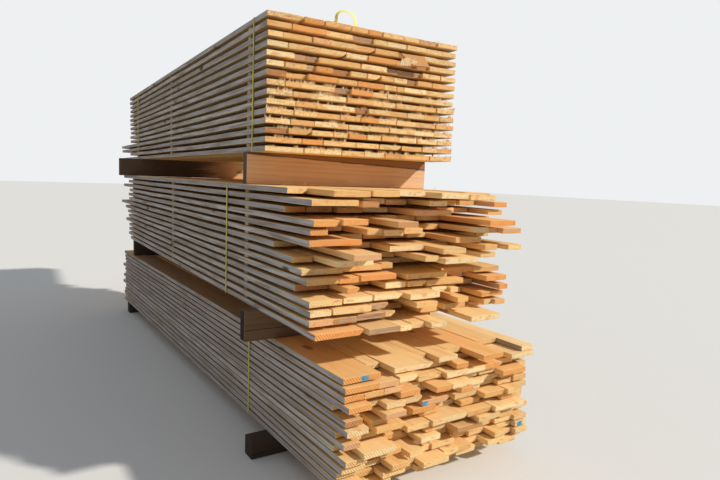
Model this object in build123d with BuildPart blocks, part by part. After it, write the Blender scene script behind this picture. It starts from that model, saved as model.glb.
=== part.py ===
from build123d import *
import math
import os
import random

# A stack of sawn boards: three packs one on another, each of fifteen rows of boards
# laid flat on cross sticks, tied with plastic strap and carried on deep bearers.
# X runs across the boards, Y along them with the near ends at -Y, Z up, in millimetres.

# Sawn boards
board_thickness = 25.0
top_board_length = 4000.0
middle_board_length = 3820.0
bottom_board_length = 4180.0
length_spread = 30.0
long_board_extra = 600.0
wane_run = 22.0
wane_rise = 15.0

# A pack
pack_width = 1150.0
least_gap = 2.0
edge_wander = 6.0

# Cross sticks between the rows
top_stick_height = 20.0
middle_stick_height = 16.5
bottom_stick_height = 9.0
stick_width = 45.0
stick_inset = 12.0

# Bearers: deep planks on edge between the packs, square beams on the ground
near_bearer_length = 1160.0
far_bearer_length = 1290.0
upper_bearer_height = 166.0
lower_bearer_height = 155.0
bearer_thickness = 58.0
ground_bearer_height = 100.0
ground_bearer_width = 90.0

# Plastic strap, and the loop that one free end of it springs into
strap_width = 16.0
strap_thickness = 1.0
loop_left = 372.0
loop_span = 110.0
loop_height = 72.0

# Boards of each pack as (width, reach), row by row from the top down and from left to right.
# The reach is how far the near end stands out in front of the near end of the top pack.
top_rows = [
    [(185, 4), (103, 0), (142, 6), (95, 2), (77, -2), (125, 4), (100, 0), (110, -4), (138, 5)],
    [(124, 0), (182, 4), (149, -3), (118, -12), (81, 2), (120, 0), (125, 5), (212, 0)],
    [(75, 2), (154, 0), (105, 8), (141, 0), (112, -6), (146, 0), (147, -16), (105, 4), (136, 0)],
    [(106, 0), (160, 4), (155, -2), (126, 0), (180, 8), (90, 6), (125, -16), (186, 0)],
    [(143, 0), (58, -14), (58, -20), (236, 0), (155, 4), (74, -14), (150, -20), (120, 0), (105, 3)],
    [(89, 0), (110, 3), (40, -10), (89, 5), (92, -20), (93, 0), (76, 3), (76, 6), (84, 0),
     (58, -14), (98, 2), (156, 0)],
    [(102, 0), (106, -20), (162, 4), (112, 0), (158, 3), (76, 0), (40, 2), (148, 5), (199, 0)],
    [(92, 0), (79, 4), (189, 0), (91, -18), (125, 3), (89, 0), (168, 4), (157, 0), (124, -3)],
    [(132, 0), (132, 3), (166, 0), (157, 4), (140, 0), (138, 2), (135, -2), (124, 4)],
    [(150, 0), (143, 3), (187, 0), (80, -15), (133, 4), (110, 0), (110, 2), (112, 0), (96, 3)],
    [(142, 0), (126, 4), (126, 0), (119, 2), (110, 6), (110, 0), (128, 3), (135, 0), (125, 4)],
    [(129, 0), (127, 2), (127, 4), (65, 0), (125, 3), (125, 0), (167, 4), (130, 0), (130, 2)],
    [(112, -8), (118, 0), (118, 3), (80, 0), (103, 2), (84, 0), (104, 5), (115, 0), (135, 3), (102, 0)],
    [(192, 0), (109, -4), (185, 2), (137, 0), (137, 4), (137, 0), (100, 3), (100, 0)],
    [(203, 0), (87, 3), (116, 0), (133, 2), (123, 0), (123, 4), (172, 0), (150, 3)],
]
middle_rows = [
    [(95, 330), (178, 555), (140, 560), (148, 540), (165, 640), (157, 640), (110, 420), (75, 400)],
    [(222, 555), (85, 550), (120, 380), (120, 360), (108, 510), (130, 400), (100, 400), (90, 520)],
    [(97, 303), (130, 300), (140, 330), (150, 300), (225, 505), (110, 380), (110, 350), (100, 490)],
    [(125, 575), (121, 590), (110, 330), (110, 640), (120, 300), (125, 290), (140, 300), (165, 670),
     (90, 400)],
    [(80, 556), (80, 330), (80, 360), (75, 560), (98, 570), (104, 565), (125, 330), (125, 350),
     (95, 605), (60, 590), (125, 620)],
    [(250, 549), (120, 350), (120, 350), (120, 330), (110, 350), (165, 570), (110, 400), (90, 400)],
    [(127, 190), (134, 680), (155, 350), (200, 500), (136, 632), (125, 350), (82, 616), (48, 400),
     (90, 632)],
    [(98, 400), (180, 600), (130, 400), (125, 380), (75, 615), (200, 657), (70, 400), (100, 590),
     (130, 400)],
    [(195, 488), (205, 482), (60, 478), (150, 330), (140, 330), (150, 350), (120, 330), (95, 330)],
    [(150, 530), (100, 525), (190, 530), (48, 400), (240, 528), (200, 482), (172, 493)],
    [(160, 425), (60, 575), (150, 400), (114, 519), (105, 522), (225, 520), (110, 380), (140, 545)],
    [(155, 560), (145, 554), (150, 553), (175, 598), (92, 522), (50, 535), (120, 380), (100, 380),
     (60, 560)],
    [(100, 568), (190, 570), (100, 547), (90, 400), (120, 615), (140, 360), (70, 577), (120, 380),
     (150, 530)],
    [(110, 570), (120, 565), (150, 558), (50, 546), (140, 400), (95, 545), (45, 380), (138, 533),
     (125, 380), (50, 525), (70, 548)],
    [(235, 611), (165, 640), (62, 626), (72, 612), (90, 658), (160, 400), (190, 632), (110, 400)],
]
bottom_rows = [
    [(187, 680), (70, 560), (215, 674), (50, 560), (117, 648), (95, 560), (137, 715), (150, 520),
     (85, 690)],
    [(167, 705), (105, 698), (100, 698), (105, 560), (140, 600), (75, 674), (120, 560), (140, 600),
     (164, 700)],
    [(95, 691), (99, 689), (97, 690), (120, 600), (135, 650), (250, 680), (120, 674), (100, 650),
     (100, 640)],
    [(112, 728), (165, 640), (109, 698), (63, 620), (100, 726), (125, 717), (105, 640), (105, 650),
     (163, 706), (60, 650)],
    [(130, 600), (75, 640), (100, 700), (102, 685), (100, 600), (100, 640), (76, 720), (130, 660),
     (120, 640), (110, 660), (70, 650)],
    [(85, 706), (97, 600), (110, 729), (125, 620), (164, 679), (110, 600), (120, 640), (110, 620),
     (100, 650), (95, 660)],
    [(106, 726), (40, 600), (83, 680), (133, 620), (130, 680), (150, 600), (148, 640), (140, 690),
     (90, 710), (96, 660)],
    [(90, 640), (77, 620), (152, 691), (120, 610), (110, 640), (130, 600), (125, 650), (115, 620),
     (110, 680), (85, 640)],
    [(82, 701), (120, 640), (128, 610), (134, 687), (216, 701), (160, 699), (200, 725), (80, 640)],
    [(75, 620), (166, 738), (100, 640), (105, 600), (127, 674), (158, 640), (150, 719), (48, 600),
     (184, 679)],
    [(107, 715), (72, 640), (108, 707), (113, 600), (114, 699), (100, 620), (162, 703), (150, 640),
     (100, 670), (90, 640)],
    [(118, 693), (76, 640), (128, 620), (80, 728), (130, 640), (110, 600), (150, 650), (115, 640),
     (120, 660), (90, 680)],
    [(110, 660), (120, 640), (96, 729), (180, 650), (140, 660), (110, 620), (100, 640), (74, 716),
     (108, 650), (80, 681)],
    [(100, 700), (95, 640), (122, 706), (85, 660), (150, 726), (92, 689), (85, 683), (80, 640),
     (118, 711), (100, 660), (88, 690)],
    [(140, 660), (115, 690), (150, 650), (110, 680), (140, 650), (125, 665), (150, 640), (115, 680),
     (75, 650)],
]

# Boards whose lower right edge is wane, as (row from the top, board from the left)
top_waney = {(1, 1), (3, 5), (4, 3), (6, 7), (13, 2), (14, 5)}
middle_waney = {(1, 1), (4, 1), (11, 2), (11, 5), (12, 3), (12, 5), (13, 3), (14, 4), (15, 1)}
bottom_waney = {(1, 3), (2, 3), (3, 7), (4, 5), (5, 4), (6, 5), (8, 3), (9, 5), (10, 5), (12, 4)}

# Rows of the top pack, from the top down, whose boards run on at the far end
top_long_rows = {12, 13, 15}


class Pack:
    """One pack: where it stands, how it is turned and how its rows are laid."""

    def __init__(self, name, left, turn, length, stick_height, sticks, straps, rows, waney, long_rows, seed):
        self.name = name
        self.left = left
        self.turn = turn
        self.stick_height = stick_height
        self.sticks = sticks
        self.straps = straps
        self.waney = waney
        self.draw = random.Random(seed)
        self.base = 0.0
        self.height = len(rows) * board_thickness + (len(rows) - 1) * stick_height
        self.rows = []
        self.lengths = []
        for number, row in reversed(list(enumerate(rows, 1))):
            self.rows.append(self.lay_row(number, row))
            extra = long_board_extra if number in long_rows else 0.0
            self.lengths.append(length + extra + self.draw.uniform(0.0, length_spread))

    def lay_row(self, number, row):
        """Boards of one row as (left, width, near end, waney), spread to fill the pack's width."""
        left = self.draw.uniform(0.0, edge_wander)
        room = pack_width - left - self.draw.uniform(0.0, edge_wander)
        laid = []
        taken = -least_gap
        while True:
            width, reach = row[len(laid) % len(row)]
            if taken + least_gap + width > room:
                break
            laid.append((width, reach))
            taken += least_gap + width
        gap = least_gap + (room - taken) / (len(laid) - 1)
        boards = []
        for place, (width, reach) in enumerate(laid, 1):
            boards.append((left, width, -reach, (number, place) in self.waney))
            left += width + gap
        return boards

    def row_bottom(self, row):
        """Underside of a row, counted from the lowest."""
        return self.base + row * (board_thickness + self.stick_height)

    def plane(self, across, along, height):
        """A plane at a point of the pack, X across the boards, Z towards the near end."""
        turn = math.radians(self.turn)
        x = self.left + across * math.cos(turn) + along * math.sin(turn)
        y = along * math.cos(turn) - across * math.sin(turn)
        across_way = (math.cos(turn), -math.sin(turn), 0)
        near_way = (-math.sin(turn), -math.cos(turn), 0)
        return Plane(origin=(x - middle_x, y - middle_y, height), x_dir=across_way, z_dir=near_way)


bottom_pack = Pack(
    "bottom_pack", left=52.0, turn=-1.4, length=bottom_board_length, stick_height=bottom_stick_height,
    sticks=(60.0, 1540.0, 3250.0), straps=(270.0,), rows=bottom_rows, waney=bottom_waney,
    long_rows=set(), seed=3,
)
middle_pack = Pack(
    "middle_pack", left=-33.0, turn=0.0, length=middle_board_length, stick_height=middle_stick_height,
    sticks=(150.0, 1620.0, 3080.0), straps=(430.0,), rows=middle_rows, waney=middle_waney,
    long_rows=set(), seed=2,
)
top_pack = Pack(
    "top_pack", left=0.0, turn=1.7, length=top_board_length, stick_height=top_stick_height,
    sticks=(250.0, 2055.0, 3600.0), straps=(172.0, 3480.0), rows=top_rows, waney=top_waney,
    long_rows=top_long_rows, seed=1,
)
packs = (bottom_pack, middle_pack, top_pack)

bottom_pack.base = ground_bearer_height
middle_pack.base = bottom_pack.base + bottom_pack.height + lower_bearer_height
top_pack.base = middle_pack.base + middle_pack.height + upper_bearer_height

# Bearers as (name, left end, near face, length, thickness, height, underside)
bearers = [
    ("ground_bearer_near", -60.0, -40.0, near_bearer_length, ground_bearer_width,
     ground_bearer_height, 0.0),
    ("ground_bearer_far", -30.0, 3290.0, far_bearer_length, ground_bearer_width,
     ground_bearer_height, 0.0),
    ("lower_bearer_near", -98.0, -20.0, near_bearer_length, bearer_thickness,
     lower_bearer_height, bottom_pack.base + bottom_pack.height),
    ("lower_bearer_far", -12.0, 3110.0, near_bearer_length, bearer_thickness,
     lower_bearer_height, bottom_pack.base + bottom_pack.height),
    ("upper_bearer_near", -10.0, 205.0, near_bearer_length, bearer_thickness,
     upper_bearer_height, middle_pack.base + middle_pack.height),
    ("upper_bearer_far", -93.0, 3375.0, far_bearer_length, bearer_thickness,
     upper_bearer_height, middle_pack.base + middle_pack.height),
]


def footprint():
    """Middle of the ground that the stack covers, seen from above."""
    xs = []
    ys = []
    for pack in packs:
        turn = math.radians(pack.turn)
        for boards, length in zip(pack.rows, pack.lengths):
            for left, width, near, waney in boards:
                for across in (left, left + width):
                    for along in (near, near + length):
                        xs.append(pack.left + across * math.cos(turn) + along * math.sin(turn))
                        ys.append(along * math.cos(turn) - across * math.sin(turn))
    for name, left, near, length, thickness, height, underside in bearers:
        xs += [left, left + length]
        ys += [near, near + thickness]
    return (min(xs) + max(xs)) / 2, (min(ys) + max(ys)) / 2


middle_x, middle_y = footprint()
os.makedirs("parts", exist_ok=True)

# Rows of boards: each board is its end section drawn out to its length
for pack in packs:
    for row, boards in enumerate(pack.rows):
        with BuildPart() as board_row:
            for left, width, near, waney in boards:
                lower_right = [(width - wane_run, 0), (width, wane_rise)] if waney else [(width, 0)]
                upper_edge = [(width, board_thickness), (0, board_thickness)]
                with BuildSketch(pack.plane(left, near, pack.row_bottom(row))):
                    with BuildLine():
                        Polyline((0, 0), *lower_right, *upper_edge, close=True)
                    make_face()
            extrude(amount=-pack.lengths[row])
        name = f"{pack.name}_row_{row + 1:02d}"
        board_row.part.label = name
        export_step(board_row.part, f"parts/{name}.step")

# Cross sticks: one under each row but the lowest, at every stick station
for pack in packs:
    with BuildPart() as sticks:
        for row in range(len(pack.rows) - 1):
            top_of_row = pack.row_bottom(row) + board_thickness
            for along in pack.sticks:
                with BuildSketch(pack.plane(stick_inset, along, top_of_row)):
                    Rectangle(pack_width - 2 * stick_inset, pack.stick_height, align=(Align.MIN, Align.MIN))
        extrude(amount=-stick_width)
    sticks.part.label = f"{pack.name}_sticks"
    export_step(sticks.part, f"parts/{pack.name}_sticks.step")

# Bearers
for name, left, near, length, thickness, height, underside in bearers:
    with BuildPart() as bearer:
        with BuildSketch(Plane.XY.offset(underside)):
            with Locations((left - middle_x, near - middle_y)):
                Rectangle(length, thickness, align=(Align.MIN, Align.MIN))
        extrude(amount=height)
    bearer.part.label = name
    export_step(bearer.part, f"parts/{name}.step")

# Straps: a flat band round the pack
for pack in packs:
    for number, along in enumerate(pack.straps, 1):
        with BuildPart() as strap:
            with BuildSketch(pack.plane(0, along, pack.base)):
                with Locations((-strap_thickness, -strap_thickness)):
                    Rectangle(
                        pack_width + 2 * strap_thickness,
                        pack.height + 2 * strap_thickness,
                        align=(Align.MIN, Align.MIN),
                    )
                Rectangle(pack_width, pack.height, align=(Align.MIN, Align.MIN), mode=Mode.SUBTRACT)
            extrude(amount=-strap_width)
        strap.part.label = f"{pack.name}_strap_{number}"
        export_step(strap.part, f"parts/{pack.name}_strap_{number}.step")

# Strap loop: the free end of the top pack's near strap runs to the near edge and arches up there
top_face = top_pack.base + top_pack.height
with BuildPart() as strap_loop:
    with BuildSketch(top_pack.plane(loop_left - strap_width, 0, top_face)):
        Rectangle(strap_width, strap_thickness, align=(Align.MIN, Align.MIN))
    extrude(amount=-top_pack.straps[0])
    with BuildSketch(top_pack.plane(loop_left, 0, top_face)):
        with BuildLine():
            crest = (0.68 * loop_span, loop_height)
            rise = ThreePointArc((0, 0), (0.22 * loop_span, 0.6 * loop_height), crest)
            fall = TangentArc(rise @ 1, (loop_span, 0.58 * loop_height), tangent=rise % 1)
            Line(fall @ 1, (loop_span, 0))
            offset(amount=strap_thickness, side=Side.LEFT)
        make_face()
    extrude(amount=-strap_width)
strap_loop.part.label = "top_pack_strap_loop"
export_step(strap_loop.part, "parts/top_pack_strap_loop.step")
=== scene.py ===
import bmesh
import bpy
import math
import random
from mathutils import Matrix, Vector, noise


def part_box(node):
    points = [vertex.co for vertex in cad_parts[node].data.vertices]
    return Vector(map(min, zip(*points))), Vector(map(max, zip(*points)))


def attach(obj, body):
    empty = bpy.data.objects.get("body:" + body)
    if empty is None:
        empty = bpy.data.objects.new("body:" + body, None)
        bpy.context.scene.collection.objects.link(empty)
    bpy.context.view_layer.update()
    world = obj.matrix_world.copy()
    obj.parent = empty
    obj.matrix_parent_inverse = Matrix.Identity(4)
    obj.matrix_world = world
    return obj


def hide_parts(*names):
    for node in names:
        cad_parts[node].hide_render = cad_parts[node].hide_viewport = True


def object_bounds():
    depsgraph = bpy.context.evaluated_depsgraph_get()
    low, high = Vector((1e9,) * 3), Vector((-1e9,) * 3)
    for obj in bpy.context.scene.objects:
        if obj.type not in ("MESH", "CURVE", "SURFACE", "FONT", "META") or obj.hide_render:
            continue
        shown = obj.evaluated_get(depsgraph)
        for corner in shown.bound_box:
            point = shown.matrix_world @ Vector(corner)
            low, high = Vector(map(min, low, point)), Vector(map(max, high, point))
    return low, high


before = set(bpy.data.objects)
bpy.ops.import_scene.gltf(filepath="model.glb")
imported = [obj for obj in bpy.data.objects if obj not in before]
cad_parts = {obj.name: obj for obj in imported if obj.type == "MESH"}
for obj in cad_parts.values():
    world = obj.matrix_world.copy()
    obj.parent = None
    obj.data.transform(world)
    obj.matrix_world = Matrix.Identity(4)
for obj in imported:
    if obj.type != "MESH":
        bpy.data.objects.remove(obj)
cad_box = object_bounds()

# Bearers: deep sawn planks on edge between the packs and square beams on the ground. They are
# weathered softwood with saw marks, splits and dark ends, held by the packs' weight alone.
# Handling has rounded their corners and left their faces slightly uneven.
bearer_corner = 0.004
bearer_loops = {0: 0.07, 2: 0.04, 1: 0.03}
bearer_unevenness = 0.0015
bearer_dents = 6
bearer_ring = 0.017
flat_rest = 0.001
seed = 5

# Marks on a plank's face, from its middle: a dark band over a falling line, the band's rim, a split
band_fall, band_height, band_wave = 0.035, 0.055, 0.03
band_edge, rim_edge = (0.013, 0.022), (0.007, 0.002)
split_height, split_wave, split_edge = 0.012, 0.02, (0.0035, 0.0015)
# Painted shade on a plank: how its edge wavers along it and where it fades out
shade_wave, shade_edge = 0.9, (0.55, 0.35)

# Grain: noise cells to a metre across, along and up a board
wobble_cells = (7.0, 0.9, 7.0)
fibre_cells = (330.0, 5.0, 330.0)
patch_cells = (24.0, 3.0, 70.0)
saw_mark_cells = (3.0, 85.0, 3.0)
knot_cells = (5.0, 2.2, 5.0)
knot_edge = (0.12, 0.07)

# Growth rings: where the log's pith may lie, its taper, and how uneven and how sharp the rings are
pith_corner, pith_spread = (-0.17, 0.0, -0.02), (0.34, 0.0, -0.16)
luck_shift = (40.0, 40.0, 40.0)
log_taper = 0.006
ring_wobble = 0.022
ring_sharpness = 2.4

# Saw stripes on an end slant by one direction; finer streaks lie along another
saw_slant, streak_slant = (1.0, 0.0, 0.8), (-0.8, 0.0, 1.0)
stripe_pitch = 0.013
stripe_swing = 3.0
streak_cells = (45.0, 160.0)


def merged_copy(node):
    """A CAD node's mesh to work on, with its loose triangles joined into flat faces."""
    shape = bmesh.new()
    shape.from_mesh(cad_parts[node].data)
    bmesh.ops.remove_doubles(shape, verts=shape.verts, dist=1e-5)
    bmesh.ops.dissolve_limit(shape, angle_limit=math.radians(1), verts=shape.verts, edges=shape.edges)
    return shape


def round_corners(shape, radius):
    """All edges of the shape bevelled."""
    bmesh.ops.bevel(
        shape, geom=shape.edges[:], offset=radius, offset_type="OFFSET", segments=1, profile=0.5,
        affect="EDGES", material=-1, clamp_overlap=True,
    )


def add_loops(shape, axis, places, parts=None):
    """Edge loops where planes at the places on an axis (0, 1 or 2) cross the shape or its parts."""
    normal = Vector((axis == 0, axis == 1, axis == 2))
    for place in places:
        cut = bmesh.ops.bisect_plane(
            shape, geom=parts or shape.verts[:] + shape.edges[:] + shape.faces[:], dist=1e-6,
            plane_co=normal * place, plane_no=normal,
        )
        parts = parts and list(dict.fromkeys(cut["geom"] + cut["geom_cut"]))


def steps(start, end, step):
    """Evenly spaced places between start and end, the ends left out."""
    count = max(1, round((end - start) / step))
    return [start + (end - start) * number / count for number in range(1, count)]


def held(value, low, high):
    """The value, kept between low and high."""
    return min(max(value, low), high)


def linear(code):
    """Linear colour of an sRGB code such as "e8c48a"."""
    parts = [int(code[place:place + 2], 16) / 255 for place in (0, 2, 4)]
    return [((part + 0.055) / 1.055) ** 2.4 for part in parts] + [1.0]


def add_node(tree, kind, inputs=None, **settings):
    """A shader node, its settings made and its inputs given a value or linked."""
    made = tree.nodes.new("ShaderNode" + kind)
    for name, value in settings.items():
        setattr(made, name, value)
    for name, value in (inputs or {}).items():
        if isinstance(value, bpy.types.NodeSocket):
            tree.links.new(value, made.inputs[name])
        else:
            made.inputs[name].default_value = value
    return made


def add_sum(tree, operation, *terms):
    """A Math node's result."""
    return add_node(tree, "Math", dict(enumerate(terms)), operation=operation).outputs[0]


def add_vector_sum(tree, operation, *terms):
    """A Vector Math node's result, which is a number for a length or a dot product."""
    made = add_node(tree, "VectorMath", dict(enumerate(terms)), operation=operation)
    return made.outputs["Value" if operation in ("LENGTH", "DOT_PRODUCT") else "Vector"]


def add_noise(tree, place, cells, detail, roughness=0.5):
    """Noise with so many cells to a metre along each axis."""
    spaced = add_vector_sum(tree, "MULTIPLY", place, cells)
    return add_node(tree, "TexNoise", {"Vector": spaced, "Scale": 1.0, "Detail": detail,
                                       "Roughness": roughness}).outputs["Fac"]


def split_axes(tree, vector):
    """The X, Y and Z of a vector."""
    return add_node(tree, "SeparateXYZ", {0: vector}).outputs


def read_attribute(tree, name, output):
    """What a piece's mesh carries under a name."""
    return add_node(tree, "Attribute", attribute_name=name).outputs[output]


def spread(tree, value, low, high):
    """The value stretched so that low is 0 and high is 1, and held between them."""
    return add_node(tree, "MapRange", {"Value": value, "From Min": low, "From Max": high}).outputs[0]


def blend_colours(tree, amount, first, second):
    """Two colours mixed by an amount from 0 to 1."""
    mixed = add_node(tree, "Mix", data_type="RGBA")
    for name, value in (("Factor_Float", amount), ("A_Color", first), ("B_Color", second)):
        socket = next(socket for socket in mixed.inputs if socket.identifier == name)
        if isinstance(value, bpy.types.NodeSocket):
            tree.links.new(value, socket)
        else:
            socket.default_value = value
    return next(socket for socket in mixed.outputs if socket.identifier == "Result_Color")


def lay_over(tree, under, mask, strength, code):
    """A colour with another one, of an sRGB code, laid over it by a mask and a strength."""
    return blend_colours(tree, add_sum(tree, "MULTIPLY", mask, strength), under, linear(code))


def lay_marks(tree, under, wood, marks):
    """A colour with marks of the wood laid over it, each (grain, where it begins, is full, strength, code)."""
    for grain, begins, full, strength, code in marks:
        under = lay_over(tree, under, spread(tree, wood[grain], begins, full), strength, code)
    return under


def add_group(name, inputs, outputs):
    """An empty shader group with its sockets, as (group, input node, output node)."""
    group = bpy.data.node_groups.new(name, "ShaderNodeTree")
    for label, kind in inputs.items():
        group.interface.new_socket(name=label, in_out="INPUT", socket_type="NodeSocket" + kind)
    for label in outputs:
        group.interface.new_socket(name=label, in_out="OUTPUT", socket_type="NodeSocketFloat")
    return group, group.nodes.new("NodeGroupInput"), group.nodes.new("NodeGroupOutput")


def make_sawn_wood_group():
    """Solid grain of a sawn board: Place has Y along the board and its middle at zero."""
    group, given, result = add_group(
        "sawn wood", {"Place": "Vector", "Luck": "Vector", "Ring width": "Float"},
        ("Rings", "Fibre", "Patches", "Saw marks", "Stripes", "Streaks", "Knots"),
    )
    place, luck = given.outputs["Place"], given.outputs["Luck"]
    shifted = add_vector_sum(group, "MULTIPLY_ADD", luck, luck_shift, place)
    wobble = add_noise(group, shifted, wobble_cells, 2.0)
    # The board lies off the middle of its log, by an amount that luck gives
    pith = add_vector_sum(group, "MULTIPLY_ADD", luck, pith_spread, pith_corner)
    flat = add_vector_sum(group, "MULTIPLY", add_vector_sum(group, "SUBTRACT", place, pith), (1.0, 0.0, 1.0))
    radius = add_vector_sum(group, "LENGTH", flat)
    tapered = add_sum(group, "MULTIPLY_ADD", split_axes(group, place)[1], log_taper, radius)
    uneven = add_sum(group, "MULTIPLY_ADD", wobble, ring_wobble, tapered)
    turns = add_sum(group, "DIVIDE", uneven, given.outputs["Ring width"])
    rings = add_sum(group, "POWER", add_sum(group, "FRACT", turns), ring_sharpness)
    slant = add_vector_sum(group, "DOT_PRODUCT", place, saw_slant)
    phase = add_sum(group, "MULTIPLY_ADD", wobble, stripe_swing,
                    add_sum(group, "MULTIPLY", slant, 2 * math.pi / stripe_pitch))
    stripes = add_sum(group, "MULTIPLY_ADD", add_sum(group, "SINE", phase), 0.5, 0.5)
    cross = add_vector_sum(group, "DOT_PRODUCT", shifted, streak_slant)
    raked = add_node(group, "CombineXYZ", {
        0: add_sum(group, "MULTIPLY", slant, streak_cells[0]),
        1: add_sum(group, "MULTIPLY", cross, streak_cells[1]),
    }).outputs[0]
    branches = add_node(group, "TexVoronoi", {
        "Vector": add_vector_sum(group, "MULTIPLY", shifted, knot_cells), "Scale": 1.0,
    }).outputs["Distance"]
    for label, value in {
        "Rings": rings,
        "Fibre": add_noise(group, shifted, fibre_cells, 3.0),
        "Patches": add_noise(group, shifted, patch_cells, 5.0, 0.6),
        "Saw marks": add_noise(group, shifted, saw_mark_cells, 2.0),
        "Stripes": stripes,
        "Streaks": add_noise(group, raked, (1.0, 1.0, 1.0), 4.0, 0.65),
        "Knots": spread(group, branches, *knot_edge),
    }.items():
        group.links.new(value, result.inputs[label])
    return group


def new_material(name, roughness):
    """A material with nothing but a Principled BSDF, as (tree, BSDF, material)."""
    material = bpy.data.materials.new(name)
    material.use_nodes = True
    surface = material.node_tree.nodes["Principled BSDF"]
    surface.inputs["Roughness"].default_value = roughness
    surface.inputs["Specular IOR Level"].default_value = 0.3
    return material.node_tree, surface, material


def read_wood(tree, ring_width):
    """The sawn wood group's outputs, for a piece that carries place and luck attributes."""
    wood = tree.nodes.new("ShaderNodeGroup")
    wood.node_tree = sawn_wood
    tree.links.new(read_attribute(tree, "place", "Vector"), wood.inputs["Place"])
    tree.links.new(read_attribute(tree, "luck", "Vector"), wood.inputs["Luck"])
    wood.inputs["Ring width"].default_value = ring_width
    return wood.outputs


def add_bump(tree, surface, height, distance, strength):
    """The surface's relief from a height."""
    bump = add_node(tree, "Bump", {"Height": height, "Distance": distance, "Strength": strength})
    tree.links.new(bump.outputs[0], surface.inputs["Normal"])


def make_bearer_wood(name, light, dark, end, shaded_to, split, band):
    """Sawn plank with dark ends and knots, darkened with painted shade as far as a place along it, at times split
    or banded.
    """
    tree, surface, material = new_material(name, 0.85)
    wood = read_wood(tree, bearer_ring)
    along, height = split_axes(tree, read_attribute(tree, "place", "Vector"))[1:]
    grained = lay_marks(tree, linear(light), wood, [
        ("Rings", 0.0, 1.0, 0.35, dark), ("Patches", 0.55, 0.78, 0.6, dark),
        ("Fibre", 0.5, 0.8, 0.4, dark), ("Knots", 0.0, 1.0, 0.7, end),
    ])
    line = add_sum(tree, "MULTIPLY_ADD", along, band_fall, add_sum(tree, "SUBTRACT", height, band_height))
    above = add_sum(tree, "MULTIPLY_ADD", wood["Patches"], band_wave, line)
    from_rim = add_sum(tree, "ABSOLUTE", add_sum(tree, "SUBTRACT", above, band_wave / 2))
    banded = lay_over(tree, grained, spread(tree, above, *band_edge), 0.85 * band, "845024")
    rimmed = lay_over(tree, banded, spread(tree, from_rim, *rim_edge), 0.9 * band, "4e2f1a")
    # Painted shade: the plank darkened with its end colour from its left end as far as a place along it
    reach = add_sum(tree, "MULTIPLY_ADD", wood["Patches"], shade_wave, along)
    painted_shade = spread(tree, reach, *(shaded_to + edge for edge in shade_edge))
    darkened = lay_over(tree, rimmed, painted_shade, 0.85, end)
    below = add_sum(tree, "MULTIPLY_ADD", wood["Patches"], split_wave,
                    add_sum(tree, "ADD", height, split_height))
    cracked = lay_over(tree, darkened, spread(tree, add_sum(tree, "ABSOLUTE", below), *split_edge), split, "1d1814")
    normal = split_axes(tree, add_node(tree, "NewGeometry").outputs["True Normal"])
    endwise = spread(tree, add_sum(tree, "ABSOLUTE", normal[0]), 0.7, 0.9)
    tree.links.new(blend_colours(tree, endwise, cracked, linear(end)), surface.inputs["Base Color"])
    add_bump(tree, surface, add_sum(tree, "ADD", wood["Fibre"], wood["Saw marks"]), 0.0015, 0.5)
    return material


def carry_grain(shape):
    """The vertex layers that the wood is drawn by."""
    layers = shape.verts.layers
    return {"place": layers.float_vector.new("place"), "luck": layers.float_vector.new("luck"),
            "tint": layers.float_color.new("tint")}


def draw_luck():
    """Three chances that set one piece's grain apart from the others'."""
    return Vector((draw.random(), draw.random(), draw.random()))


def finish_piece(shape, name, materials, node=None):
    """The shape as a piece of the stack, standing for a CAD node if one is given."""
    mesh = bpy.data.meshes.new(name)
    shape.to_mesh(mesh)
    shape.free()
    for material in materials:
        mesh.materials.append(material)
    piece = bpy.data.objects.new(name, mesh)
    bpy.context.scene.collection.objects.link(piece)
    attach(piece, "root")
    if node:
        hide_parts(node)


# Woods: light, dark and end colours, how far the painted shade reaches, and how strong the split and band are
unshaded, shaded_through = -9.0, 9.0
sawn_wood = make_sawn_wood_group()
clean_plank = make_bearer_wood("clean plank", "d4ae88", "b08050", "5b4636", unshaded, 0.0, 1.0)
shaded_plank = make_bearer_wood("part shaded plank", "c4966a", "9c7046", "40362f", 0.25, 0.0, 0.0)
worn_plank = make_bearer_wood("worn plank", "6e563e", "4c3929", "231d19", unshaded, 0.9, 0.0)
dark_shaded_plank = make_bearer_wood("dark shaded plank", "6b4f38", "43301f", "352a22", shaded_through, 0.5, 0.0)
# The far and ground bearers lie in shade, painted into their wood: the upper far one on its left part, the others
# all over
bearer_woods = {
    "upper_bearer_near": clean_plank, "lower_bearer_near": worn_plank, "upper_bearer_far": shaded_plank,
    "lower_bearer_far": dark_shaded_plank, "ground_bearer_near": dark_shaded_plank, "ground_bearer_far": dark_shaded_plank,
}
draw = random.Random(seed)
noise.seed_set(seed)

for node in sorted(bearer_woods):
    low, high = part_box(node)
    middle = (low + high) / 2
    shape = merged_copy(node)
    round_corners(shape, bearer_corner)
    for axis, step in bearer_loops.items():
        add_loops(shape, axis, steps(low[axis], high[axis], step))
    layers = carry_grain(shape)
    luck = draw_luck()
    for vert in shape.verts:
        offset = vert.co - middle
        vert[layers["place"]] = (offset.y, offset.x, offset.z)
        vert[layers["luck"]] = luck
        dent = noise.noise_vector(vert.co * bearer_dents) * bearer_unevenness
        # Top and bottom faces stay flat on what they carry and rest on
        rests = min(vert.co.z - low.z, high.z - vert.co.z) < flat_rest
        vert.co += Vector((dent.x, dent.y, 0.0 if rests else dent.z))
        vert.co.x = held(vert.co.x, low.x, high.x)
    finish_piece(shape, node + "_dressed", [bearer_woods[node]], node)

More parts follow.
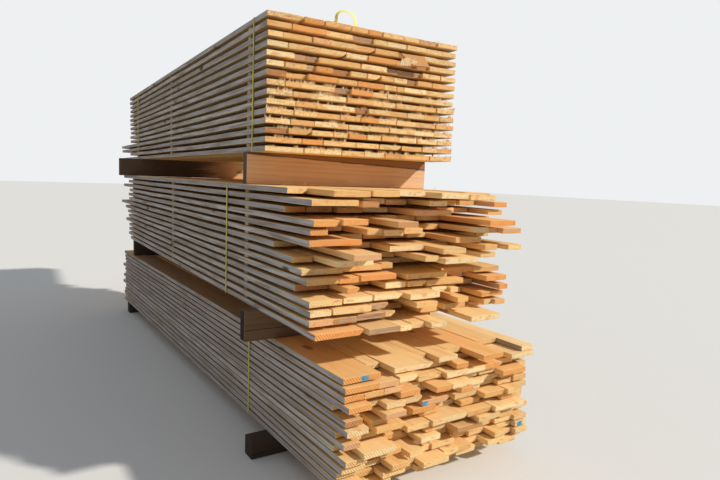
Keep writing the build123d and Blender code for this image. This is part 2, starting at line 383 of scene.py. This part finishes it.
# Boards: sawn softwood 25 mm thick, laid in rows of random widths, near ends cut or left ragged.
# The ends are pale to orange with saw stripes, rough or torn here and there; the long faces are
# tan inside the pack and weathered grey along its sides. Lower right edges of some keep the wane.
board_corner = 0.0009
board_loops = {"across": 0.03, "up": 0.009, "near end": 0.16, "between sticks": 0.3, "far end": 0.3}
edge_wander, face_wander = 0.0008, 0.0004
end_roughness = 0.0007
torn_depth = 0.010
end_skin = 0.002
end_skew = 0.022
curl_reach = 0.8
cup, cup_reach, cup_level = 0.0016, 0.2, 0.4
end_cells = (45, 90, 70)
wander_cells = (50, 2.5, 3)
face_ring, end_ring, wane_ring = 0.016, 0.0065, 0.012
burr_edge = (0.0085, 0.0125)
paint_edge, paint_raggedness, paint_flatness = (0.037, 0.032), 0.03, 0.8
facing = (0.7, 0.95)
wane_slant = 0.3

# Weather greys a pack's sides, further in on a row that shows; near the sides, painted shade darkens the under
# sides, and the tops inside the pack away from the ends
side_weather_and_shade, open_weather_and_shade = 0.12, 1.2
shade_margin, shade_fade = 0.1, 0.3
far_off = 9.0

# Brown and grey are partly wood of those colours and partly painted shade, given to ends that lie in shade
palette = {
    "cream": "f2dba6", "pale": "ebca8e", "honey": "e2b473", "orange": "da8f46", "vivid": "dc7826",
    "pink": "dcaa7c", "brown": "a97850", "grey": "a38b73",
}
common_tints = ["cream", "pale", "pale", "pale", "honey", "honey"]
brightnesses = (0.78, 0.98)
scoring_range = (0.3, 1.2)
striping = {"vivid": 0.62, "orange": 0.4}
common_striping = [0.0, 0.0, 0.15, 0.3]

# Splinters that the saw left standing in tufts on upper edges
tuft_spacing = 0.045
tuft_spread = 0.014
tuft_sizes = (3, 8)
tuft_chances = (0.0, 2.8)
tuft_foot = (0.0015, 0.001)
tuft_lean = 0.35
splinter_lengths = (0.007, 0.018)
splinter_roots = (0.0016, 0.0032)
splinter_tip = 0.0007
splinter_flatness = 0.35
no_marks = (1.0, 0.0, 0.0)

# Packs: how far each is turned, in degrees, how far its boards curl and sag, how strongly the saw
# scored their ends, and their shade, which darkens all their colours as painted shade. Boards that
# stand out are given as (row from the top, board from the left), a spot of blue paint by its place
# across the board, from 0 to 1. Splinters stand on the rows from the frayed one down, and 99 means
# on none.
packs = {
    "bottom_pack": {
        "turn": -1.4, "curl": 0.007, "sag": 0.002, "scoring": 0.25, "shade": 0.93, "frayed from": 99,
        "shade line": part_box("lower_bearer_near")[0].y,
        "spots": {(1, 1): 0.57, (6, 5): 0.08, (13, 10): 0.4},
        "torn": [(3, 5), (7, 1), (10, 5), (14, 6)],
        "tints": {
            "orange": [(1, 1), (1, 7), (2, 1), (2, 6), (3, 1), (3, 7), (4, 1), (4, 3), (4, 5), (4, 9),
                       (5, 7), (7, 5)],
            "honey": [(9, 6), (8, 3), (10, 5)],
            "pink": [(2, 2), (3, 3), (6, 3), (6, 5), (9, 1)],
            "cream": [(1, 3), (1, 5), (1, 9), (2, 9), (3, 6), (5, 3), (7, 1), (9, 5), (9, 7), (10, 2), (11, 5)],
            "brown": [(6, 1), (11, 7), (7, 4)],
        },
    },
    "middle_pack": {
        "turn": 0.0, "curl": 0.010, "sag": 0.004, "scoring": 0.3, "shade": 1.0, "frayed from": 99,
        "torn": [(2, 2), (13, 3), (13, 9), (14, 2), (14, 3), (15, 2), (15, 5)],
        "tints": {
            "orange": [(2, 8), (3, 1), (4, 1), (4, 2), (5, 1), (10, 2), (10, 6), (11, 2), (11, 8), (13, 9)],
            "vivid": [(4, 8), (6, 1), (10, 3), (12, 9), (15, 1)],
            "honey": [(2, 1), (5, 4), (5, 6), (10, 5), (11, 6)],
            "pink": [(3, 5), (5, 10), (5, 11), (7, 2), (14, 1)],
            "cream": [(2, 5), (4, 5), (5, 9), (7, 4), (8, 2), (8, 6), (11, 4), (14, 4), (15, 3)],
            "grey": [(13, 3), (14, 2), (14, 3), (15, 2)],
            "brown": [(2, 2), (4, 4), (11, 1)],
        },
    },
    "top_pack": {
        "turn": 1.7, "curl": 0.010, "sag": 0.005, "scoring": 0.9, "shade": 1.0, "frayed from": 8,
        "torn": [(1, 1), (4, 6), (6, 3), (6, 8), (7, 2), (11, 5), (13, 1), (13, 4), (14, 5)],
        "tints": {
            "orange": [(1, 2), (1, 5), (2, 2), (4, 5), (6, 4), (7, 3), (7, 5), (8, 5), (11, 5), (13, 5), (14, 2)],
            "pink": [(1, 8), (3, 3), (4, 6)],
            "brown": [(3, 7), (4, 7), (6, 5), (6, 10), (7, 1), (10, 4), (13, 1)],
            "grey": [(2, 4), (5, 2), (5, 3), (5, 6), (5, 7), (6, 3), (8, 4)],
            "honey": [(2, 1), (3, 2), (3, 6), (5, 4), (7, 2), (14, 1), (15, 6)],
            "cream": [(12, 1), (12, 3), (12, 5), (15, 1), (15, 3), (9, 1), (9, 3), (10, 3)],
        },
    },
}
for settings in packs.values():
    settings["tint of"] = {board: tint for tint, boards in settings["tints"].items() for board in boards}


def separate_solids(shape):
    """The vertices of each solid in the shape, as lists, from left to right."""
    waiting = dict.fromkeys(shape.verts)
    solids = []
    while waiting:
        reached = [waiting.popitem()[0]]
        for vert in reached:
            for edge in vert.link_edges:
                other = edge.other_vert(vert)
                if other in waiting:
                    del waiting[other]
                    reached.append(other)
        solids.append(reached)
    return sorted(solids, key=lambda verts: min(vert.co.x for vert in verts))


def whole(verts):
    """The vertices with the edges and faces that they carry."""
    edges = dict.fromkeys(edge for vert in verts for edge in vert.link_edges)
    faces = dict.fromkeys(face for vert in verts for face in vert.link_faces)
    return [*verts, *edges, *faces]


def make_face_wood():
    """Long faces of a board: tan with fine grain and saw marks, greyed by weather at the pack's sides, with
    painted shade on under sides and sheltered tops there.
    """
    tree, surface, material = new_material("board face", 0.8)
    wood = read_wood(tree, face_ring)
    weather_and_shade = read_attribute(tree, "tint", "Alpha")
    tanned = blend_colours(tree, 0.65, read_attribute(tree, "tint", "Color"), linear("f6cb88"))
    grained = lay_marks(tree, tanned, wood, [
        ("Rings", 0.0, 1.0, 0.14, "c08b50"), ("Patches", 0.52, 0.66, 0.35, "d38f4c"),
        ("Fibre", 0.5, 0.8, 0.25, "96683e"), ("Knots", 0.0, 1.0, 0.75, "8a5a33"),
    ])
    # Painted shade darkens under sides and sheltered tops, and weather reaches the upright sides
    normal = split_axes(tree, add_node(tree, "NewGeometry").outputs["True Normal"])
    upright = spread(tree, add_sum(tree, "ABSOLUTE", normal[0]), *facing)
    under = spread(tree, normal[2], -facing[0], -facing[1])
    inside = add_sum(tree, "MULTIPLY", spread(tree, normal[2], *facing), read_attribute(tree, "shelter", "Fac"))
    shaded = add_sum(tree, "MULTIPLY", add_sum(tree, "ADD", under, inside), weather_and_shade)
    dust_and_shade = lay_over(tree, grained, shaded, 0.75, "6a5c4f")
    chance = split_axes(tree, read_attribute(tree, "luck", "Vector"))[0]
    # Weathered silver grey; the bluer of its two greys is painted light, the blue of the sky's light on the shaded
    # sides
    sky_tinted_silver = lay_marks(tree, blend_colours(tree, chance, linear("bcbab9"), linear("9a9ba0")), wood, [
        ("Patches", 0.40, 0.62, 1.0, "7b7672"), ("Fibre", 0.45, 0.75, 0.5, "6d6966"),
    ])
    outside = add_sum(tree, "MULTIPLY", upright, weather_and_shade)
    greyed = blend_colours(tree, add_sum(tree, "MULTIPLY", outside, 0.92), dust_and_shade, sky_tinted_silver)
    tree.links.new(lay_over(tree, greyed, wood["Knots"], outside, "4f463f"), surface.inputs["Base Color"])
    add_bump(tree, surface, add_sum(tree, "ADD", wood["Fibre"], wood["Saw marks"]), 0.0008, 0.5)
    return material


def make_end_wood():
    """Cut ends: growth rings, slanting saw stripes, damp patches and, on a few, a spot of blue paint."""
    tree, surface, material = new_material("board end", 0.85)
    wood = read_wood(tree, end_ring)
    from_spot, striped, from_middle = split_axes(tree, read_attribute(tree, "marks", "Vector"))
    grained = lay_marks(tree, read_attribute(tree, "tint", "Color"), wood, [
        ("Rings", 0.0, 1.0, 0.42, "c0874c"), ("Stripes", 0.0, 1.0, striped, "f5bf7c"),
        ("Patches", 0.54, 0.62, 0.6, "cb7f42"),
        ("Streaks", 0.50, 0.68, read_attribute(tree, "rough cut", "Fac"), "8a5029"),
        ("Fibre", 0.56, 0.76, 0.5, "9a683e"),
    ])
    # Burrs darken the upper and lower edges
    burr = add_sum(tree, "MULTIPLY", spread(tree, from_middle, *burr_edge), spread(tree, wood["Fibre"], 0.3, 0.6))
    edged = lay_over(tree, grained, burr, 0.45, "925f36")
    ragged = add_sum(tree, "MULTIPLY_ADD", wood["Streaks"], paint_raggedness, from_spot)
    painted = blend_colours(tree, spread(tree, ragged, *paint_edge), edged, linear("2c84aa"))
    tree.links.new(painted, surface.inputs["Base Color"])
    relief = add_sum(tree, "ADD", add_sum(tree, "ADD", wood["Fibre"], wood["Stripes"]), wood["Streaks"])
    add_bump(tree, surface, relief, 0.0018, 0.7)
    return material


def make_wane_wood():
    """Wane: the rounded outside of the log under its bark, brown and ribbed along the grain."""
    tree, surface, material = new_material("wane", 0.9)
    wood = read_wood(tree, wane_ring)
    barked = lay_marks(tree, linear("a97a4e"), wood, [("Patches", 0.35, 0.65, 1.0, "5d3f2a")])
    tree.links.new(barked, surface.inputs["Base Color"])
    add_bump(tree, surface, wood["Patches"], 0.003, 0.8)
    return material


def cut_row(shape, near_stick, far_stick):
    """The row's boards with their corners rounded and edge loops to bend and roughen them by."""
    for face in shape.faces:
        if abs(face.normal.y) > facing[0]:
            face.material_index = board_woods.index(end_wood)
        elif face.normal.x > wane_slant and face.normal.z < -wane_slant:
            face.material_index = board_woods.index(wane_wood)
    round_corners(shape, board_corner)
    for board in separate_solids(shape):
        xs = [vert.co.x for vert in board]
        add_loops(shape, 0, steps(min(xs), max(xs), board_loops["across"]), whole(board))
    zs = [vert.co.z for vert in shape.verts]
    ys = [vert.co.y for vert in shape.verts]
    add_loops(shape, 2, steps(min(zs), max(zs), board_loops["up"]))
    add_loops(shape, 1, steps(min(ys), near_stick, board_loops["near end"])
              + steps(near_stick, far_stick, board_loops["between sticks"])
              + steps(far_stick, max(ys), board_loops["far end"]))


def sag(along, stations, depth):
    """How far a board hangs down at a place, between the sticks that carry it."""
    for first, last in zip(stations, stations[1:]):
        if first < along < last:
            return -depth * math.sin(math.pi * (along - first) / (last - first)) ** 2
    return 0.0


def shape_board(board, layers, pack, position, stations, hang, outer_side, weather_and_shade_reach, shade_line):
    """One board bent, its ends roughened, and what its wood is drawn by stored on it."""
    xs, ys, zs = ([vert.co[axis] for vert in board] for axis in range(3))
    left, right, near, far = min(xs), max(xs), min(ys), max(ys)
    half = (right - left) / 2
    middle = Vector(((left + right) / 2, near, (min(zs) + max(zs)) / 2))
    tint = pack["tint of"].get(position, draw.choice(common_tints))
    scoring = pack["scoring"] * draw.uniform(*scoring_range)
    luck = draw_luck()
    # A pack's shade below 1 darkens all its colours: painted shade, used on the bottom pack
    brightness = draw.uniform(*brightnesses) * pack["shade"]
    colour = [part * brightness for part in linear(palette[tint])[:3]]
    rise = draw.uniform(-pack["curl"], pack["curl"])
    hollow = draw.uniform(-cup, cup)
    skew = draw.uniform(-end_skew, end_skew)
    stripes = striping.get(tint, draw.choice(common_striping))
    spot = pack.get("spots", {}).get(position)
    torn = position in pack["torn"]
    for vert in board:
        x, y, z = vert.co
        place = vert.co - middle
        along = place.y / (far - near)
        in_from_side = (x - left if outer_side < 0 else right - x) / weather_and_shade_reach
        inward = min(y - max(shade_line, near + shade_margin), far - shade_margin - y)
        spot_x = left + spot * (right - left) if spot and along < 0.5 else left - 1.0
        vert[layers["place"]] = place
        vert[layers["luck"]] = luck
        vert[layers["tint"]] = colour + [max(0.0, 1.0 - in_from_side) if outer_side else 0.0]
        vert[layers["marks"]] = (math.hypot(x - spot_x, place.z * paint_flatness), stripes, abs(place.z))
        vert[layers["rough cut"]] = scoring
        vert[layers["shelter"]] = held(inward / shade_fade, 0.0, 1.0)
        # Free ends curl and cup, and the whole board sags and wanders a little
        free = max(0.0, stations[0] - y)
        cupped = hollow * min(1.0, free / cup_reach) * ((place.x / half) ** 2 - cup_level)
        bend = rise * min(free, curl_reach) ** 2 + cupped + sag(y, stations, hang)
        shift = abs(skew) * (x - left if skew > 0 else right - x) * (1.0 - 2.0 * along)
        if place.y < end_skin or far - y < end_skin:
            rough = noise.noise(Vector((x * end_cells[0], luck.x * end_cells[1], z * end_cells[2])))
            depth = abs(rough) * torn_depth if torn else (0.5 + 0.5 * rough) * end_roughness
            shift += depth if along < 0.5 else -depth
        wander = noise.noise_vector(Vector((luck.x * wander_cells[0], y * wander_cells[1],
                                            luck.z * wander_cells[0] + place.x * wander_cells[2])))
        vert.co += Vector((wander.x * edge_wander, shift, bend + wander.z * face_wander))


def add_sliver(shape, foot, tip, root):
    """A flat splinter from its foot to its tip, and its vertices."""
    way = tip - foot
    return bmesh.ops.create_cone(
        shape, segments=4, radius1=root, radius2=splinter_tip, depth=way.length, cap_ends=True,
        matrix=Matrix.Translation((foot + tip) / 2) @ way.to_track_quat("Z", "Y").to_matrix().to_4x4()
        @ Matrix.Diagonal((1.0, splinter_flatness, 1.0, 1.0)),
    )["verts"]


def fray(shape, board, layers, tufts):
    """Tufts of splinters on the upper edge of a board's near end."""
    ends = [vert for vert in board if vert[layers["place"]].y < 2 * end_skin]
    high = max(vert.co.z for vert in ends)
    edge = [vert for vert in ends if vert.co.z > high - end_skin]
    left, right = min(vert.co.x for vert in edge), max(vert.co.x for vert in edge)
    near = min(vert.co.y for vert in edge)
    for tuft in range(tufts):
        centre = draw.uniform(left, right)
        for splinter in range(draw.randint(*tuft_sizes)):
            across = held(centre + draw.gauss(0.0, tuft_spread), left, right)
            foot = Vector((across, near + tuft_foot[0], high - tuft_foot[1]))
            way = Vector((draw.gauss(0.0, tuft_lean), -draw.uniform(0.0, 1.0), 1.0)).normalized()
            tip = foot + way * draw.uniform(*splinter_lengths)
            for vert in add_sliver(shape, foot, tip, draw.uniform(*splinter_roots)):
                vert[layers["place"]] = (foot.x - left, 0.0, 0.0)
                vert[layers["tint"]] = linear("f6dcae")
                vert[layers["marks"]] = no_marks
                for face in vert.link_faces:
                    face.material_index = board_woods.index(end_wood)


face_wood = make_face_wood()
end_wood = make_end_wood()
wane_wood = make_wane_wood()
board_woods = [face_wood, end_wood, wane_wood]

for name, pack in packs.items():
    # Each pack is shaped squared up to the axes, and turned back at the end
    square = Matrix.Rotation(math.radians(pack["turn"]), 3, "Z")
    sticks = merged_copy(name + "_sticks")
    bmesh.ops.rotate(sticks, cent=(0, 0, 0), matrix=square, verts=sticks.verts)
    stations = sorted({
        round(sum(vert.co.y for vert in stick) / len(stick), 3) for stick in separate_solids(sticks)
    })
    sticks.free()
    rows = sorted(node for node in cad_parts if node.startswith(name + "_row"))
    for number, node in enumerate(rows):
        row_from_top = len(rows) - number
        shape = merged_copy(node)
        bmesh.ops.rotate(shape, cent=(0, 0, 0), matrix=square, verts=shape.verts)
        shape.normal_update()
        cut_row(shape, stations[0], stations[-1])
        layers = carry_grain(shape)
        layers["marks"] = shape.verts.layers.float_vector.new("marks")
        layers["rough cut"] = shape.verts.layers.float.new("rough cut")
        layers["shelter"] = shape.verts.layers.float.new("shelter")
        hang = draw.uniform(0.0, pack["sag"]) if 1 < row_from_top < len(rows) else 0.0
        # A top row lies open to the weather, with painted shade on it only where the next pack covers it
        shade_line = -far_off if row_from_top > 1 else pack.get("shade line", far_off)
        weather_and_shade_reach = open_weather_and_shade if row_from_top == 1 and "shade line" in pack else side_weather_and_shade
        boards = separate_solids(shape)
        for from_left, board in enumerate(boards, 1):
            outer_side = {1: -1, len(boards): 1}.get(from_left, 0)
            shape_board(board, layers, pack, (row_from_top, from_left), stations, hang, outer_side,
                        weather_and_shade_reach, shade_line)
            if row_from_top >= pack["frayed from"]:
                width = max(vert.co.x for vert in board) - min(vert.co.x for vert in board)
                fray(shape, board, layers, round(draw.uniform(*tuft_chances) * width / tuft_spacing))
        bmesh.ops.rotate(shape, cent=(0, 0, 0), matrix=square.transposed(), verts=shape.verts)
        for vert in shape.verts:
            vert.co.x = held(vert.co.x, cad_box[0][0], cad_box[1][0])
        finish_piece(shape, node + "_dressed", board_woods, node)

# Torn slab and slivers: a slice split off a board's end, high on the top pack, and bent down, a pale
# comb of fibres below it, and loose slivers lying on the packs. The plates are drawn between four
# corners, the last edge pulled into teeth, and the slivers lie where the photograph shows them.
plate_columns, plate_levels = 17, 4
plate_thickness = 0.007
plate_scoring = 0.4
sliver_root = 0.002
end_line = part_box("top_pack_row_13")[0].y
grain_start, torn_luck = Vector((0.24, end_line, 2.05)), (0.3, 0.6, 0.2)

# Each plate: its corners, with Y from the boards' near end, the length of its teeth, and its colour
torn_plates = [
    ([(0.165, 0.002, 2.088), (0.318, 0.002, 2.092), (0.335, -0.034, 2.036), (0.222, -0.030, 2.030)],
     0.006, "ba8a58"),
    ([(0.148, -0.014, 2.021), (0.245, -0.020, 2.026), (0.252, -0.034, 2.048), (0.150, -0.028, 2.044)],
     0.018, "f6deb0"),
]
# Each sliver: its foot and its tip
slivers = [
    ((0.394, -1.972, 2.183), (0.481, -1.985, 2.206)), ((0.560, -1.970, 2.178), (0.557, -1.976, 2.194)),
    ((-0.31, -1.765, 1.363), (-0.27, -1.790, 1.388)), ((-0.28, -1.760, 1.363), (-0.30, -1.800, 1.381)),
    ((-0.25, -1.775, 1.363), (-0.21, -1.780, 1.378)), ((-0.19, -1.800, 1.363), (-0.24, -1.830, 1.374)),
    ((0.26, -1.790, 1.363), (0.30, -1.830, 1.377)), ((0.05, -2.050, 1.364), (0.10, -2.075, 1.379)),
    ((-0.45, -1.820, 1.363), (-0.41, -1.850, 1.376)), ((0.42, -2.000, 1.364), (0.38, -2.060, 1.378)),
]


def add_torn_plate(shape, corners, teeth):
    """A thin plate between four corners, the edge between the last two pulled into teeth."""
    whole_left, whole_right, torn_right, torn_left = corners
    lines = []
    for level in range(plate_levels + 1):
        lines.append([])
        for column in range(plate_columns + 1):
            share = column / plate_columns
            start, end = whole_left.lerp(whole_right, share), torn_left.lerp(torn_right, share)
            point = start.lerp(end, level / plate_levels)
            if level == plate_levels:
                point += (end - start).normalized() * teeth * draw.random()
            lines[-1].append(shape.verts.new(point))
    faces = [
        shape.faces.new((first[column], second[column], second[column + 1], first[column + 1]))
        for first, second in zip(lines, lines[1:]) for column in range(plate_columns)
    ]
    bmesh.ops.recalc_face_normals(shape, faces=faces)
    bmesh.ops.solidify(shape, geom=faces, thickness=plate_thickness)


shape = bmesh.new()
layers = carry_grain(shape)
layers["rough cut"] = shape.verts.layers.float.new("rough cut")
layers["marks"] = shape.verts.layers.float_vector.new("marks")
for corners, teeth, code in torn_plates:
    older = set(shape.verts)
    add_torn_plate(shape, [Vector((x, end_line + y, z)) for x, y, z in corners], teeth)
    for vert in set(shape.verts) - older:
        vert[layers["tint"]] = linear(code)
        vert[layers["rough cut"]] = plate_scoring
for foot, tip in slivers:
    for vert in add_sliver(shape, Vector(foot), Vector(tip), sliver_root):
        vert[layers["tint"]] = linear("f2d6a4")
for vert in shape.verts:
    vert[layers["place"]] = vert.co - grain_start
    vert[layers["luck"]] = torn_luck
    vert[layers["marks"]] = no_marks
finish_piece(shape, "torn_slab_and_slivers", [end_wood])

# Cross sticks: sawn laths laid across each pack between its rows, at three stations, to carry the
# rows above and let air through. They are weathered grey brown softwood, held by the boards' weight.
stick_corner = 0.0015
stick_ring = 0.006
stick_tints = ["b39c80", "a58c6e", "c2a67f", "968068"]


def make_stick_wood():
    """Weathered lath: a plain grey brown streaked along the grain."""
    tree, surface, material = new_material("cross stick", 0.88)
    wood = read_wood(tree, stick_ring)
    darkened = lay_marks(tree, read_attribute(tree, "tint", "Color"), wood, [
        ("Rings", 0.0, 1.0, 0.4, "77604a"), ("Patches", 0.5, 0.8, 1.0, "5f4c3a"),
    ])
    tree.links.new(darkened, surface.inputs["Base Color"])
    add_bump(tree, surface, wood["Fibre"], 0.001, 0.6)
    return material


stick_wood = make_stick_wood()
for name in packs:
    node = name + "_sticks"
    shape = merged_copy(node)
    round_corners(shape, stick_corner)
    layers = carry_grain(shape)
    for stick in separate_solids(shape):
        middle = sum((vert.co for vert in stick), Vector()) / len(stick)
        luck = draw_luck()
        colour = linear(draw.choice(stick_tints))
        for vert in stick:
            offset = vert.co - middle
            vert[layers["place"]] = (offset.y, offset.x, offset.z)
            vert[layers["luck"]] = luck
            vert[layers["tint"]] = colour
    finish_piece(shape, node + "_dressed", [stick_wood], node)

# Straps: flat woven polyester band, 16 mm wide, pulled tight round each pack.
# The band is a dull yellow green and lies flat against the boards' edges.
dust_cells, dust_edge = 9.0, (0.4, 0.75)
weave_checks = 450.0


def make_strap_plastic(name, clean, dust_and_shade):
    """Woven band: yellow green, slightly dulled by dust, with a fine weave."""
    tree, surface, material = new_material(name, 0.55)
    where = add_node(tree, "TexCoord").outputs["Object"]
    dust = add_node(tree, "TexNoise", {"Vector": where, "Scale": dust_cells, "Detail": 3.0}).outputs["Fac"]
    colour = blend_colours(tree, spread(tree, dust, *dust_edge), linear(clean), linear(dust_and_shade))
    tree.links.new(colour, surface.inputs["Base Color"])
    weave = add_node(tree, "TexChecker", {"Vector": where, "Scale": weave_checks}).outputs["Fac"]
    add_bump(tree, surface, weave, 0.0003, 0.4)
    return material


strap_plastic = make_strap_plastic("woven strap", "c4b950", "a59b55")
for node in sorted(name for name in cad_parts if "strap" in name):
    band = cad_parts[node]
    band.data.materials.clear()
    band.data.materials.append(strap_plastic)

# Strap loop: the loose end of the top pack's near strap, the same band sprung into a twisted arch,
# its plastic made lighter than the straps' as painted light for the loop in full light. It runs
# forward on the top boards, rises at their near end and comes down beside it. Its twist is given
# as (part of the run, degrees).
band_width, band_thickness = 0.016, 0.001
loop_steps = 28
loop_twists = [(0.0, 90.0), (0.12, 35.0), (0.5, 45.0), (1.0, 85.0)]
loop_bulge, loop_fullness = 0.06, 0.8
tail_back, tail_front = 0.002, 0.03
loop_low, loop_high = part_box("top_pack_strap_loop")
foot_left = Vector((loop_low.x + 0.012, loop_low.y + 0.008, loop_low.z))
foot_right = Vector((loop_high.x - 0.008, loop_low.y + 0.004, loop_low.z))
loop_rise = loop_high.z - loop_low.z - 0.008


def loop_twist(part):
    """How far the band is twisted at a part of its run over the arch."""
    return math.radians(next(
        start[1] + (end[1] - start[1]) * (part - start[0]) / (end[0] - start[0])
        for start, end in zip(loop_twists, loop_twists[1:]) if part <= end[0]
    ))


def loop_point(part):
    """Middle of the band, and the way its width lies, at a part of its run over the arch."""
    angle = math.pi * (1.0 - part)
    lean = 0.5 + 0.5 * math.cos(angle)
    point = Vector((
        foot_left.x + (foot_right.x - foot_left.x) * (lean + loop_bulge * math.sin(2 * angle)),
        foot_left.y + (foot_right.y - foot_left.y) * lean,
        loop_low.z + loop_rise * math.sin(angle) ** loop_fullness,
    ))
    twist = loop_twist(part)
    return point, Vector((math.sin(twist) * math.cos(angle), math.cos(twist), math.sin(twist) * math.sin(angle)))


shape = bmesh.new()
tail_start = Vector((foot_left.x, loop_high.y - tail_back, loop_low.z + band_thickness / 2))
rail = [shape.verts.new(tail_start + Vector((side * band_width / 2, 0, 0))) for side in (-1, 1)]
edge = shape.edges.new(rail)
path = [(Vector((foot_left.x, loop_low.y + tail_front, tail_start.z)), Vector((1, 0, 0)))]
path += [loop_point(number / loop_steps) for number in range(1, loop_steps + 1)]
for point, width_way in path:
    grown = bmesh.ops.extrude_edge_only(shape, edges=[edge])["geom"]
    edge = next(part for part in grown if isinstance(part, bmesh.types.BMEdge))
    ends = sorted(edge.verts, key=lambda vert: (vert.co - point).dot(width_way))
    for vert, side in zip(ends, (-1, 1)):
        vert.co = point + width_way * side * band_width / 2
bmesh.ops.recalc_face_normals(shape, faces=shape.faces)
bmesh.ops.solidify(shape, geom=shape.faces[:], thickness=band_thickness)
# Painted light: a lighter copy of the strap plastic for the loop in full light
lit_strap_plastic = make_strap_plastic("lit woven strap", "e6d463", "d3c266")
finish_piece(shape, "top_pack_strap_loop_dressed", [lit_strap_plastic], "top_pack_strap_loop")

# Floor, light and camera: a pale floor, one large key light from the right and in front, a sky
# fill, and the photograph's viewing angle from the left and in front, in metres and degrees.
floor_reach = 60.0
photo_width = 720
focal_pixels = 563.384
film_width = 36.0
camera_place = (-1.6627, -4.4995, 1.410)
camera_yaw, camera_pitch, camera_roll = 32.53, -6.18, 2.09
key_place, key_target = Vector((5.2, -6.2, 5.6)), Vector((0.0, -1.0, 1.0))
key_strength, key_softness = 4.1, 2.5
sky_strength, sky_seen_strength = 0.55, 1.0

surface, floor_material = new_material("floor", 0.9)[1:]
surface.inputs["Base Color"].default_value = linear("d9d7d2")
floor_shape = bmesh.new()
bmesh.ops.create_grid(floor_shape, x_segments=1, y_segments=1, size=floor_reach)
floor_mesh = bpy.data.meshes.new("floor")
floor_shape.to_mesh(floor_mesh)
floor_shape.free()
floor_mesh.materials.append(floor_material)
floor = bpy.data.objects.new("floor", floor_mesh)
bpy.context.scene.collection.objects.link(floor)

# The sky is paler and stronger where the camera sees it than where it only lights the stack
world = bpy.data.worlds.new("sky")
world.use_nodes = True
tree = world.node_tree
sky = tree.nodes["Background"]
seen = add_node(tree, "LightPath").outputs["Is Camera Ray"]
strength = add_node(tree, "MapRange", {"Value": seen, "To Min": sky_strength, "To Max": sky_seen_strength})
tree.links.new(blend_colours(tree, seen, linear("dfe6f0"), linear("eef0f2")), sky.inputs["Color"])
tree.links.new(strength.outputs[0], sky.inputs["Strength"])
bpy.context.scene.world = world

key_light = bpy.data.lights.new("key", "SUN")
key_light.energy = key_strength
key_light.angle = math.radians(key_softness)
key_light.color = (1.0, 0.96, 0.90)
key = bpy.data.objects.new("key", key_light)
key.location = key_place
key.rotation_euler = (key_target - key_place).to_track_quat("-Z", "Y").to_euler()
bpy.context.scene.collection.objects.link(key)

lens = bpy.data.cameras.new("camera")
lens.sensor_fit = "HORIZONTAL"
lens.sensor_width = film_width
lens.lens = focal_pixels / photo_width * film_width
camera = bpy.data.objects.new("camera", lens)
camera.matrix_world = (
    Matrix.Translation(camera_place)
    @ Matrix.Rotation(math.radians(-camera_yaw), 4, "Z")
    @ Matrix.Rotation(math.radians(90.0 + camera_pitch), 4, "X")
    @ Matrix.Rotation(math.radians(camera_roll), 4, "Z")
)
bpy.context.scene.collection.objects.link(camera)
bpy.context.scene.camera = camera
bpy.context.scene.view_settings.view_transform = "Standard"
